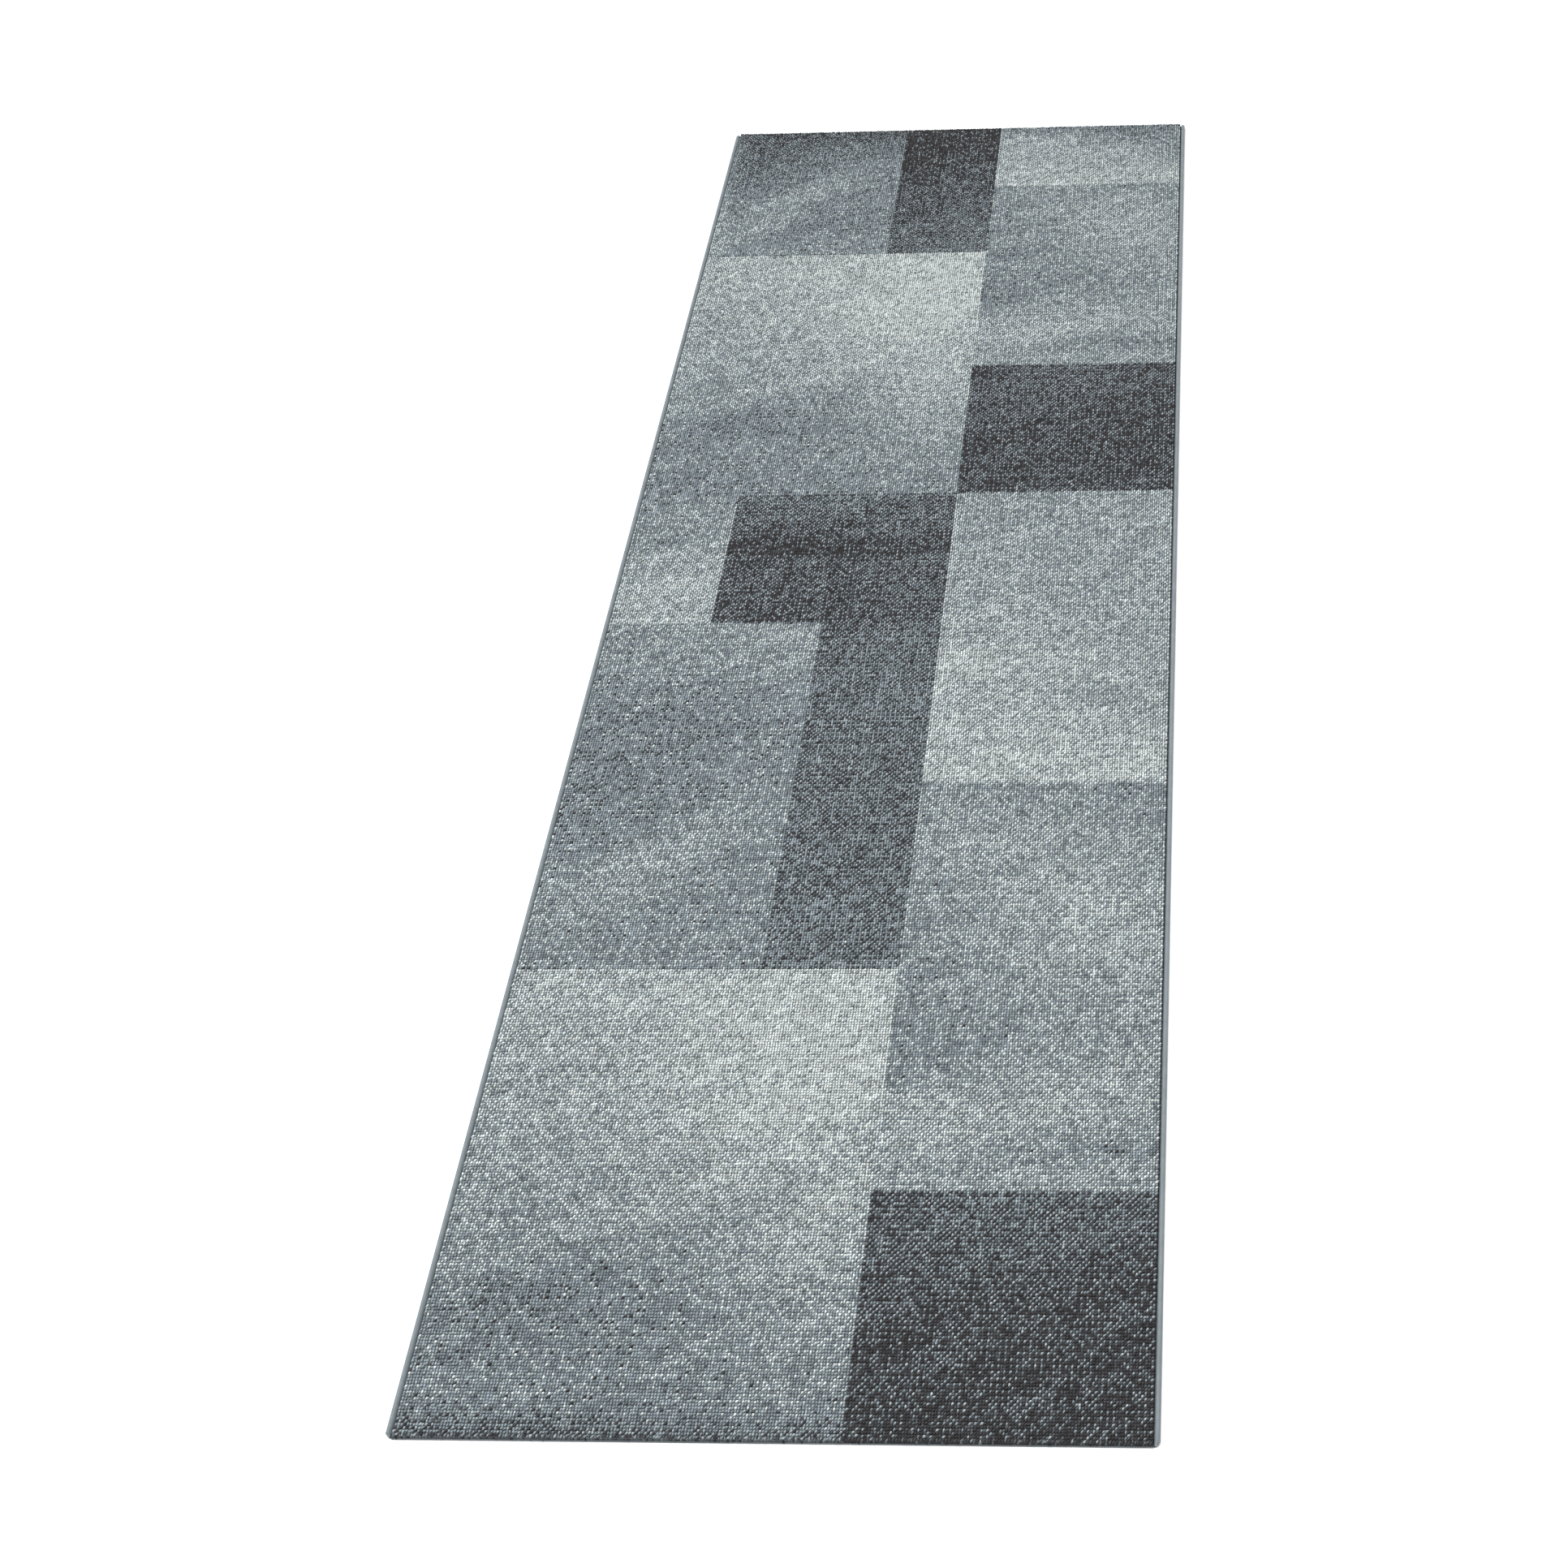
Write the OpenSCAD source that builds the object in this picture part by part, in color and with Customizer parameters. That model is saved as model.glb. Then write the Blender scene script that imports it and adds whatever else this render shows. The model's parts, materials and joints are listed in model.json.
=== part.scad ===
// Runner rug: a woven ground cloth with a short patterned cut pile, a latex coat below,
// serged long sides with a filler cord inside, and short ends hemmed on the underside.
// Lengths are in millimetres. The origin is the middle of the underside: X runs across
// the runner, Y along it from the near end to the far end, and Z is up.

/* [Overall size] */
// Width of the runner, over its serged sides
rug_w = 800; // [600:10:1200]
// Length of the runner, between its hemmed ends
rug_l = 3000; // [1500:50:5000]

/* [Layers] */
// Thickness of the latex coat on the underside
coat_t = 1; // [0.8:0.1:1.4]
// Thickness of the woven ground cloth
ground_t = 1.5; // [1.2:0.1:1.8]
// Height of the pile above the ground cloth
pile_h = 6.5; // [5:0.5:10]

/* [Serged long sides] */
// Width of the serged bead
edge_w = 7; // [6.5:0.5:9]
// Height of the serged bead
edge_h = 7.5; // [7:0.5:8.5]
// Radius of the bead's outer edges
edge_round = 3; // [2:0.25:3]
// Diameter of the filler cord inside the bead
cord_d = 3; // [2:0.25:3]
// Depth that the ground cloth's selvedge reaches into the bead
selvedge_in = 2.5; // [1:0.25:2.5]
// Gap between the bead and the first column of tufts
groove_w = 1; // [0.5:0.25:2]
// Radius of the runner's four corners, seen from above
corner_round = 5; // [3:0.5:6]

/* [Hemmed short ends] */
// Width of the band turned under at each short end
hem_w = 28; // [24:1:40]
// Distance of the stitch row from the short end
stitch_inset = 20; // [8:1:20]
// Length of one stitch
stitch_l = 5; // [3:0.5:8]
// Distance between two stitches in a row
stitch_gap = 2; // [1:0.5:4]
// Width of the sewing thread
thread_w = 1; // [0.6:0.1:1.4]
// Thickness of the sewing thread
thread_t = 0.5; // [0.3:0.1:0.6]

/* [Colour-block design] */
// Right side of the narrow left column, as a share of the width
narrow_column = 0.19; // [0.15:0.01:0.25]
// Right side of the second column, as a share of the width
second_column = 0.386; // [0.34:0.002:0.44]
// Right side of the centre column, as a share of the width
centre_column = 0.594; // [0.54:0.002:0.66]
// Top of the near right dark block, as a share of the length
near_dark_row = 0.119; // [0.08:0.001:0.14]
// Top of the near left large block, as a share of the length
near_large_row = 0.244; // [0.2:0.001:0.28]
// Bottom of the middle right light block, as a share of the length
middle_light_row = 0.3645; // [0.33:0.0005:0.4]
// Bottom of the middle dark block, as a share of the length
middle_dark_row = 0.488; // [0.45:0.001:0.52]
// Bottom of the far left large block, as a share of the length
far_large_row = 0.598; // [0.56:0.001:0.63]
// Length after which the left side of the design repeats, as a share of the length
design_repeat = 0.6025; // [0.58:0.0005:0.61]
// Bottom of the far right light block, as a share of the length
far_light_row = 0.924; // [0.9:0.001:0.95]

/* [Hidden] */

// The filler cord lies free in its channel, by this much all round.
cord_clearance = 0.1;
// The yarn left between the filler cord's channel and the bead's outer side.
bead_wall = 1;
// Some room past a face, so that a cut goes right through it.
through = 1;
round_facets = 48;

half_w = rug_w / 2;
half_l = rug_l / 2;
ground_z = coat_t;
pile_z = coat_t + ground_t;
inner_half_w = half_w - edge_w;
pile_half_w = inner_half_w - groove_w;
fold_t = coat_t;
cord_channel_r = cord_d / 2 + cord_clearance;
cord_x = half_w - bead_wall - cord_channel_r;

// The lines between the colour blocks, from left to right and from the near end to the far end.
function across(share) = (share - 0.5) * rug_w;
function along(share) = (share - 0.5) * rug_l;
columns = [-pile_half_w, across(narrow_column), across(second_column), across(centre_column), pile_half_w];
rows = [
    -half_l, along(near_dark_row), along(near_large_row), along(middle_light_row),
    along(middle_dark_row), along(far_large_row), along(near_dark_row + design_repeat),
    along(near_large_row + design_repeat), along(far_light_row), half_l
];

silver = [0.68, 0.72, 0.73];
fade = [0.60, 0.64, 0.65];
grey = [0.55, 0.58, 0.60];
slate = [0.42, 0.45, 0.46];
charcoal = [0.37, 0.39, 0.41];
edge_yarn = [0.56, 0.60, 0.63];
cotton = [0.80, 0.78, 0.72];
latex = [0.74, 0.72, 0.66];
hem_cloth = [0.62, 0.61, 0.57];
hem_thread = [0.50, 0.53, 0.55];

// One colour block of pile: the tufts between two columns and two rows of the design.
module pile_block(left, right, near, far) {
    translate([columns[left], rows[near], pile_z])
        cube([columns[right] - columns[left], rows[far] - rows[near], pile_h]);
}

module near_right_charcoal_pile() { color(charcoal) pile_block(3, 4, 0, 1); }
module near_left_fade_pile() { color(fade) pile_block(0, 3, 0, 2); }
module near_right_grey_pile() { color(grey) pile_block(3, 4, 1, 3); }
module middle_left_grey_pile() { color(grey) pile_block(0, 2, 2, 4); }
module middle_centre_slate_pile() { color(slate) pile_block(2, 3, 2, 4); }
module middle_right_silver_pile() { color(silver) pile_block(3, 4, 3, 5); }
module middle_left_silver_pile() { color(silver) pile_block(0, 1, 4, 5); }
module middle_charcoal_pile() { color(charcoal) pile_block(1, 3, 4, 5); }
module far_left_fade_pile() { color(fade) pile_block(0, 3, 5, 7); }
module far_right_charcoal_pile() { color(charcoal) pile_block(3, 4, 5, 6); }
module far_right_grey_pile() { color(grey) pile_block(3, 4, 6, 8); }
module far_left_grey_pile() { color(grey) pile_block(0, 2, 7, 9); }
module far_centre_slate_pile() { color(slate) pile_block(2, 3, 7, 9); }
module far_right_silver_pile() { color(silver) pile_block(3, 4, 8, 9); }

// The woven cloth that the tufts are tied into. Its selvedges reach into the serged beads.
module ground_cloth() {
    cloth_half_w = inner_half_w + selvedge_in;
    cloth_half_l = half_l - fold_t;
    color(cotton)
        translate([-cloth_half_w, -cloth_half_l, ground_z])
            cube([2 * cloth_half_w, 2 * cloth_half_l, ground_t]);
}

// The latex coat, which stops at the two hems.
module back_coat() {
    coat_half_l = half_l - hem_w;
    color(latex)
        translate([-inner_half_w, -coat_half_l, 0])
            cube([2 * inner_half_w, 2 * coat_half_l, coat_t]);
}

// Outline of the right bead across the runner: flat inside and below, round on its outer side.
module bead_outline() {
    translate([inner_half_w, 0])
        square([edge_w - edge_round, edge_h]);
    translate([inner_half_w, edge_round])
        square([edge_w, edge_h - 2 * edge_round]);
    for (height = [edge_round, edge_h - edge_round])
        translate([half_w - edge_round, height])
            circle(r = edge_round, $fn = round_facets);
}

// Plan of the whole runner with its rounded corners, as tall as the bead.
module corner_plan() {
    linear_extrude(edge_h) {
        square([rug_w - 2 * corner_round, rug_l], center = true);
        square([rug_w, rug_l - 2 * corner_round], center = true);
        for (side = [-1, 1], end = [-1, 1])
            translate([side * (half_w - corner_round), end * (half_l - corner_round)])
                circle(r = corner_round, $fn = round_facets);
    }
}

// The right bead: serging yarn round the ground cloth's selvedge and the filler cord.
module serged_bead() {
    intersection() {
        translate([0, half_l, 0])
            rotate([90, 0, 0])
                linear_extrude(rug_l)
                    difference() {
                        bead_outline();
                        translate([cord_x, edge_h / 2])
                            circle(r = cord_channel_r, $fn = round_facets);
                    }
        corner_plan();
    }
}

// The slot in the right bead that holds the ground cloth's selvedge.
module selvedge_slot() {
    translate([inner_half_w - through, fold_t - half_l, ground_z])
        cube([selvedge_in + through, rug_l - 2 * fold_t, ground_t]);
}

module right_edge() {
    difference() {
        serged_bead();
        selvedge_slot();
    }
}

module filler_cord(side) {
    translate([side * cord_x, corner_round - half_l, edge_h / 2])
        rotate([-90, 0, 0])
            cylinder(d = cord_d, h = rug_l - 2 * corner_round, $fn = round_facets);
}

module right_serged_edge() { color(edge_yarn) right_edge(); }
module left_serged_edge() { color(edge_yarn) mirror([1, 0, 0]) right_edge(); }
module right_filler_cord() { color(cotton) filler_cord(1); }
module left_filler_cord() { color(cotton) filler_cord(-1); }

// The band turned under at the far end: it lies beside the coat, folds up round the
// ground cloth's end, and has a shallow channel in its underside for the stitches.
module end_hem() {
    difference() {
        union() {
            translate([-inner_half_w, half_l - hem_w, 0])
                cube([2 * inner_half_w, hem_w - fold_t, fold_t]);
            translate([-inner_half_w, half_l - fold_t, fold_t])
                cube([2 * inner_half_w, fold_t, ground_t]);
            intersection() {
                translate([-inner_half_w, half_l - fold_t, fold_t])
                    rotate([0, 90, 0])
                        cylinder(r = fold_t, h = 2 * inner_half_w, $fn = round_facets);
                translate([-inner_half_w, half_l - fold_t, 0])
                    cube([2 * inner_half_w, fold_t, fold_t]);
            }
        }
        translate([-inner_half_w - through, half_l - stitch_inset - thread_w / 2, -through])
            cube([2 * (inner_half_w + through), thread_w, thread_t + through]);
    }
}

// The stitches of the far hem, lying in its channel.
module hem_stitches() {
    pitch = stitch_l + stitch_gap;
    count = floor((2 * inner_half_w - stitch_gap) / pitch);
    first_x = -(count * pitch - stitch_gap) / 2;
    for (number = [0 : count - 1])
        translate([first_x + number * pitch, half_l - stitch_inset - thread_w / 2, 0])
            cube([stitch_l, thread_w, thread_t]);
}

module far_end_hem() { color(hem_cloth) end_hem(); }
module near_end_hem() { color(hem_cloth) mirror([0, 1, 0]) end_hem(); }
module far_hem_stitches() { color(hem_thread) hem_stitches(); }
module near_hem_stitches() { color(hem_thread) mirror([0, 1, 0]) hem_stitches(); }

near_right_charcoal_pile();
near_left_fade_pile();
near_right_grey_pile();
middle_left_grey_pile();
middle_centre_slate_pile();
middle_right_silver_pile();
middle_left_silver_pile();
middle_charcoal_pile();
far_left_fade_pile();
far_right_charcoal_pile();
far_right_grey_pile();
far_left_grey_pile();
far_centre_slate_pile();
far_right_silver_pile();
ground_cloth();
back_coat();
left_serged_edge();
right_serged_edge();
left_filler_cord();
right_filler_cord();
near_end_hem();
far_end_hem();
near_hem_stitches();
far_hem_stitches();
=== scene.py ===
"""A runner rug: cut pile in a block design, serged long sides, hemmed short ends and a woven back.

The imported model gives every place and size. All lengths are in metres.
"""

import json
import math
from typing import NamedTuple

import bmesh
import bpy
import numpy as np
from bpy.props import FloatProperty, FloatVectorProperty, IntProperty, PointerProperty
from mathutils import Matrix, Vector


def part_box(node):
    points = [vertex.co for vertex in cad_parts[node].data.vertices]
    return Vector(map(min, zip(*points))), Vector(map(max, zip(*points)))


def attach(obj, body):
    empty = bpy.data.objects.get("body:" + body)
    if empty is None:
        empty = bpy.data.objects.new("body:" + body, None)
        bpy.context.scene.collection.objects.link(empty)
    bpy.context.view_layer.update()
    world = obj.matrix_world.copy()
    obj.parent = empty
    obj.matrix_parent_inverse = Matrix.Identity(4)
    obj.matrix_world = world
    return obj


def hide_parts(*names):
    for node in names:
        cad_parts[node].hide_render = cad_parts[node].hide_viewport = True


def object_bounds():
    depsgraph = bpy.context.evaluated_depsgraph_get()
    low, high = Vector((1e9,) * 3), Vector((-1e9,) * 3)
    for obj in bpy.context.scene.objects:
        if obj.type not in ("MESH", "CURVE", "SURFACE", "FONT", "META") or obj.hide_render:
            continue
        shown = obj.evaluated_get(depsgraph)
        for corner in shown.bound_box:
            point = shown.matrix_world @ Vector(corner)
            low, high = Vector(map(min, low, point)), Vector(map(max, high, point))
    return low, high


bl_info = {
    "name": "Runner Rug",
    "version": (1, 0, 0),
    "blender": (4, 5, 0),
    "location": "3D View > Sidebar > Runner Rug",
    "description": "Weaves the pile, serging, hems and back of a runner rug round its packed model",
    "category": "Add Mesh",
}

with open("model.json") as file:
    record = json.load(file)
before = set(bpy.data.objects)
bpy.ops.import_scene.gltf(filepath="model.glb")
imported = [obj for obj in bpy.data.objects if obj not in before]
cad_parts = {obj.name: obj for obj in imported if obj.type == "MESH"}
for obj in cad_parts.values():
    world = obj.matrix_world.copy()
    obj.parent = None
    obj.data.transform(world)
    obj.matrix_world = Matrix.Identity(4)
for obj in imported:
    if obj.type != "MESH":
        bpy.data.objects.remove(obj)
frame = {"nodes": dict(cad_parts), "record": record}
cad_box = [list(corner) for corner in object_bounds()]

(LEFT, NEAR, FLOOR), (RIGHT, FAR, CROWN) = cad_box
LENGTH = FAR - NEAR
PILE_NODES = [name for name in frame["nodes"] if name.endswith("_pile")]
SLOTS = {part["node"]: part["material_slot"] for part in frame["record"]["subparts"]}
MM = 0.001


# ---------------------------------------------------------------- the block design


class Stroke(NamedTuple):
    """A soft brush stroke that lightens or darkens the pile round one place."""

    across: float  # centre, from the left side
    along: float  # centre, from the near end of the repeat
    length: float  # reach along the stroke
    breadth: float  # reach across the stroke
    angle: float  # degrees up from the rug's width
    lift: float  # how much the tone goes up at its centre


class Motif(NamedTuple):
    """The tone of a colour block at its near and far side, and the strokes on it.

    A tone of 0 is charcoal, 1 is a middle grey and 2 is as pale as the yarns allow.
    """

    near: float
    far: float
    strokes: tuple = ()


FADE_STROKES = (
    Stroke(0.36, 0.54, 0.23, 0.16, 90, 0.34),
    Stroke(0.43, 0.34, 0.35, 0.09, 85, 0.22),
    Stroke(0.32, 0.35, 0.35, 0.045, 36, -0.26),
    Stroke(0.26, 0.33, 0.13, 0.033, 32, 0.34),
    Stroke(0.19, 0.18, 0.13, 0.04, 0, -0.20),
)
CHARCOAL_STROKES = (Stroke(0.71, 0.37, 0.34, 0.13, 24, 0.32),)
GREY_STROKES = (
    Stroke(0.72, 0.79, 0.12, 0.16, 57, 0.34),
    Stroke(0.55, 0.49, 0.26, 0.055, 12, 0.32),
    Stroke(0.47, 0.56, 0.09, 0.16, 90, -0.18),
    Stroke(0.76, 0.42, 0.14, 0.02, 5, -0.30),
    Stroke(0.62, 0.99, 0.31, 0.16, -13, 0.34),
)
MOTIFS = {
    "near_right_charcoal_pile": Motif(0.14, 0.14, CHARCOAL_STROKES),
    "near_left_fade_pile": Motif(0.76, 1.40, FADE_STROKES),
    "near_right_grey_pile": Motif(1.16, 0.69, GREY_STROKES),
    "middle_left_grey_pile": Motif(0.90, 0.82, (
        Stroke(0.00, 0.86, 0.35, 0.02, 39, 0.21),
        Stroke(0.13, 0.91, 0.19, 0.042, 42, 0.27),
        Stroke(0.28, 1.41, 0.30, 0.085, 0, 0.30),
        Stroke(0.03, 1.12, 0.35, 0.16, 50, -0.17),
    )),
    "middle_centre_slate_pile": Motif(0.57, 0.21, (Stroke(0.41, 1.38, 0.26, 0.16, 80, 0.24),)),
    "middle_right_silver_pile": Motif(1.40, 1.08, (
        Stroke(0.44, 1.36, 0.16, 0.045, 0, 0.32),
        Stroke(0.82, 1.24, 0.31, 0.02, -17, -0.23),
        Stroke(0.72, 1.48, 0.35, 0.09, 120, -0.12),
        Stroke(0.59, 1.14, 0.35, 0.07, -17, 0.09),
    )),
    "middle_left_silver_pile": Motif(1.16, 0.81, (
        Stroke(0.14, 1.62, 0.24, 0.13, 50, 0.24),
        Stroke(-0.05, 1.67, 0.29, 0.023, 0, -0.27),
    )),
    "middle_charcoal_pile": Motif(0.20, 0.41, (
        Stroke(0.14, 1.66, 0.35, 0.035, 0, -0.27),
        Stroke(0.43, 1.49, 0.18, 0.05, 90, 0.09),
    )),
    "far_left_fade_pile": Motif(0.73, 1.37, FADE_STROKES),
    "far_right_charcoal_pile": Motif(0.22, 0.02, CHARCOAL_STROKES),
    "far_right_grey_pile": Motif(1.09, 0.62, GREY_STROKES),
    "far_left_grey_pile": Motif(0.84, 0.28, (
        Stroke(0.10, 0.93, 0.14, 0.027, 43, 0.34),
        Stroke(0.10, 0.86, 0.22, 0.03, 50, 0.29),
        Stroke(0.00, 0.98, 0.35, 0.02, 90, 0.34),
        Stroke(0.32, 1.03, 0.19, 0.14, 7, 0.27),
    )),
    "far_centre_slate_pile": Motif(0.44, -0.07, (Stroke(0.43, 1.02, 0.35, 0.047, 90, 0.12),)),
    "far_right_silver_pile": Motif(1.39, 1.09, (Stroke(0.77, 1.13, 0.35, 0.06, -28, -0.34),)),
}

# The yarn mix that each tone takes: 0 is all charcoal tufts, 1 is all steel and 2 is all pale.
TONES = (0.0, 0.75, 2.0)
MIXES = (0.06, 1.0, 2.3)

# The order in which the sixteen tufts of one weaving cell change to the lighter yarn.
CELL_ORDER = np.array([[0, 8, 2, 10], [12, 4, 14, 6], [3, 11, 1, 9], [15, 7, 13, 5]])


def design_repeat():
    """The length after which the design starts again: from one fade block's far side to the next's."""
    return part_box("far_left_fade_pile")[1][1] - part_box("near_left_fade_pile")[1][1]


def stroke_weight(stroke, across, along):
    """How strongly a stroke covers each place, from 0 to 1."""
    turn = math.radians(stroke.angle)
    off_x = across - stroke.across
    off_y = along - stroke.along
    lengthwise = (off_x * math.cos(turn) + off_y * math.sin(turn)) / stroke.length
    sideways = (off_y * math.cos(turn) - off_x * math.sin(turn)) / stroke.breadth
    return np.exp(-(lengthwise**2 + sideways**2))


def brush_grain(across, along, seed):
    """Fine bristle marks that lean with the strokes, between about -1 and 1."""
    draw = np.random.default_rng(seed)
    wave_count, middle_lean, lean_spread = 28, 26, 18
    finest, broadest = 0.02, 0.12
    bend_depth, slowest_bend, quickest_bend = 0.02, 8, 20
    marks = np.zeros_like(across)
    for _ in range(wave_count):
        lean = math.radians(draw.normal(middle_lean, lean_spread))
        spacing = draw.uniform(finest, broadest)
        phase = draw.uniform(0, 2 * math.pi)
        bend = bend_depth * np.sin(along * draw.uniform(slowest_bend, quickest_bend) + phase)
        distance = along * math.cos(lean) - (across + bend) * math.sin(lean)
        marks += np.sin(2 * math.pi * distance / spacing + phase)
    return marks / math.sqrt(wave_count)


def yarn_mix(node, x, y, settings):
    """The yarn mix that the design asks for at each tuft of a colour block, darkened at the rug's ends by
    painted shade.
    """
    motif = MOTIFS[node]
    low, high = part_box(node)
    start = design_repeat() if node.startswith("far_") else 0.0
    across = x - LEFT
    along = y - NEAR - start
    share = (y - low[1]) / (high[1] - low[1])
    tone = motif.near + (motif.far - motif.near) * share
    for stroke in motif.strokes:
        tone = tone + stroke.lift * stroke_weight(stroke, across, along)
    tone = tone + settings.brush_depth * brush_grain(across, along, settings.seed)
    # Painted shade: the tone is darkened over a strip at each end, where the pile that leans over the ends
    # looks darker.
    for shade, distance in ((settings.near_painted_shade, y - NEAR), (settings.far_painted_shade, FAR - y)):
        tone = tone * (1 - shade * np.exp(-((distance / settings.end_reach) ** 2)))
    return np.interp(tone, TONES, MIXES)


# ---------------------------------------------------------------- settings


def colour_setting(name, description, default):
    return FloatVectorProperty(
        name=name, description=description, subtype="COLOR", size=3, min=0, max=1, default=default
    )


def length_setting(name, description, default):
    return FloatProperty(
        name=name, description=description, unit="LENGTH", precision=4, min=0, default=default
    )


def angle_setting(name, description, degrees):
    return FloatProperty(
        name=name, description=description, subtype="ANGLE", default=math.radians(degrees)
    )


class RunnerRugPileSettings(bpy.types.PropertyGroup):
    """Sizes and yarns of the cut pile."""

    column_pitch: length_setting("Column pitch", "Distance between tufts across the rug", 3.2 * MM)
    row_pitch: length_setting("Row pitch", "Distance between tufts along the rug", 4.348 * MM)
    tuft_width: length_setting("Tuft width", "Width of one tuft at its foot", 4.0 * MM)
    tuft_length: length_setting("Tuft length", "Length of one tuft at its foot along its slant", 7.9 * MM)
    tuft_depth: length_setting("Tuft depth", "Height of the part of a tuft that stands free", 3.3 * MM)
    bed_depth: length_setting("Bed depth", "How far below the crowns the tufts close up", 2.8 * MM)
    turn: angle_setting("Turn", "How far a tuft is twisted to either side", 22)
    lean: angle_setting("Lean", "How far a tuft leans from upright", 14)
    slant: angle_setting("Slant", "How far the crowns point away from the rug's length", 35)
    splay: angle_setting("Splay", "How far the last row leans out over the rug's ends", 35)
    droop: angle_setting("Droop", "How far the tufts on the rug's end faces hang out", 78)
    crown_variation: length_setting("Crown variation", "Unevenness of the cut", 0.3 * MM)
    side_gap: length_setting("Side gap", "From the serged side to the first column of tufts", 2.6 * MM)
    face_inset: length_setting("Face inset", "How far in the tufts on the end faces are rooted", 1.5 * MM)
    face_height: length_setting("Face height", "Height of the tufts on the end faces", 4.6 * MM)
    bed_step: length_setting("Bed step", "Distance over which the bed's colour changes", 15 * MM)
    wander: FloatProperty(
        name="Wander", description="How far a tuft is off its place, as a share of the pitch",
        default=0.09, min=0, max=0.5,
    )
    stray: FloatProperty(
        name="Stray yarns", description="How irregularly the tufts of a cell change yarn",
        default=0.30, min=0, max=1,
    )
    dye_scatter: FloatProperty(
        name="Dye scatter", description="Difference in shade between tufts of one yarn",
        default=0.15, min=0, max=1,
    )
    brush_depth: FloatProperty(
        name="Brush depth", description="Strength of the bristle marks", default=0.05, min=0, max=0.3
    )
    # Painted shade: the near and far shade darken the yarn mix over a strip at each end.
    near_painted_shade: FloatProperty(
        name="Near shade", description="How much darker the tone is at the near end",
        default=0.45, min=0, max=1,
    )
    far_painted_shade: FloatProperty(
        name="Far shade", description="How much darker the tone is at the far end",
        default=0.25, min=0, max=1,
    )
    end_reach: length_setting("End reach", "Width of the darker strip at the ends", 26 * MM)
    seed: IntProperty(name="Seed", description="Seed of everything random in the pile", default=7)
    charcoal: colour_setting("Charcoal yarn", "Dark pile yarn", (0.036, 0.033, 0.035))
    steel: colour_setting("Steel yarn", "Middle pile yarn", (0.213, 0.254, 0.279))
    pale: colour_setting("Pale yarn", "Light pile yarn", (0.555, 0.60, 0.59))


class RunnerRugEdgeSettings(bpy.types.PropertyGroup):
    """Sizes and yarn of the serged long sides."""

    wraps_per_metre: FloatProperty(
        name="Wraps", description="Turns of serging yarn per metre", default=665, min=100
    )
    yarn_radius: length_setting("Yarn radius", "Radius of the serging yarn", 0.95 * MM)
    inner_height: length_setting("Inner height", "Height of the bead on the side of the pile", 1.6 * MM)
    corner_radius: length_setting("Corner radius", "Rounding of the rug's four corners", 5 * MM)
    slant: angle_setting("Slant", "How far each turn slants along the side", 9)
    cord_lay: length_setting("Cord lay", "Length of one twist of the filler cord", 20 * MM)
    yarn: colour_setting("Serging yarn", "Colour of the serging yarn", (0.165, 0.192, 0.206))
    cord: colour_setting("Filler cord", "Colour of the cord inside the bead", (0.55, 0.50, 0.40))


class RunnerRugBackSettings(bpy.types.PropertyGroup):
    """Sizes and colours of the ground cloth, the coat and the hems."""

    rib_height: length_setting("Rib height", "Height of the woven ribs on the back", 0.22 * MM)
    hem_rib_pitch: length_setting("Hem rib pitch", "Distance between ribs of the hem band", 1.2 * MM)
    hem_rib_height: length_setting("Hem rib height", "Height of the ribs of the hem band", 0.06 * MM)
    stitch_length: length_setting("Stitch length", "Length of one hem stitch", 5 * MM)
    stitch_pitch: length_setting("Stitch pitch", "Distance from stitch to stitch", 7 * MM)
    stitch_dip: length_setting("Stitch dip", "How far a stitch dips into the hem at its ends", 0.4 * MM)
    warp: colour_setting("Ground warp", "Warp of the ground cloth", (0.030, 0.030, 0.032))
    weft: colour_setting("Ground weft", "Weft of the ground cloth", (0.060, 0.060, 0.064))
    jute: colour_setting("Jute", "Yarn that shows through the coat", (0.46, 0.37, 0.24))
    latex: colour_setting("Latex", "Coat that soaks the back", (0.50, 0.46, 0.37))
    hem_warp: colour_setting("Hem warp", "Lengthwise yarn of the hem band", (0.17, 0.19, 0.205))
    hem_weft: colour_setting("Hem weft", "Crosswise yarn of the hem band", (0.13, 0.147, 0.16))
    thread: colour_setting("Thread", "Sewing thread of the hems", (0.17, 0.20, 0.22))


class RunnerRugStageSettings(bpy.types.PropertyGroup):
    """Floor, lights and camera."""

    floor: colour_setting("Floor", "Colour of the floor", (0.86, 0.86, 0.86))
    sky: FloatProperty(name="Sky", description="Brightness of the room", default=0.95, min=0)
    key: FloatProperty(name="Key", description="Power of the large soft light", default=2.25, min=0)
    softness: angle_setting("Softness", "How wide the soft light is", 40)
    fill: FloatProperty(name="Fill", description="Power of the lamp over the near end", default=112, min=0)
    tip: angle_setting("Tip", "How far the light comes from the near end", 8)
    roll: angle_setting("Roll", "How far the light comes from the left", -32)
    lens: FloatProperty(name="Lens", description="Focal length", unit="CAMERA", default=71.8)
    shift: FloatProperty(name="Shift", description="Sideways shift of the lens", default=-0.12)
    place: FloatVectorProperty(
        name="Camera place", description="Where the camera stands", subtype="TRANSLATION",
        default=(0.477, -3.597, 2.468),
    )
    aim: FloatVectorProperty(
        name="Camera aim", description="How the camera is turned", subtype="EULER",
        default=[math.radians(degrees) for degrees in (52.44, 3.20, 3.55)],
    )


# ---------------------------------------------------------------- node helpers


def feed(tree, socket, value):
    """Links a socket to the one that feeds it, or gives it a plain value."""
    if isinstance(value, bpy.types.NodeSocket):
        tree.links.new(value, socket)
    else:
        socket.default_value = value


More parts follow.
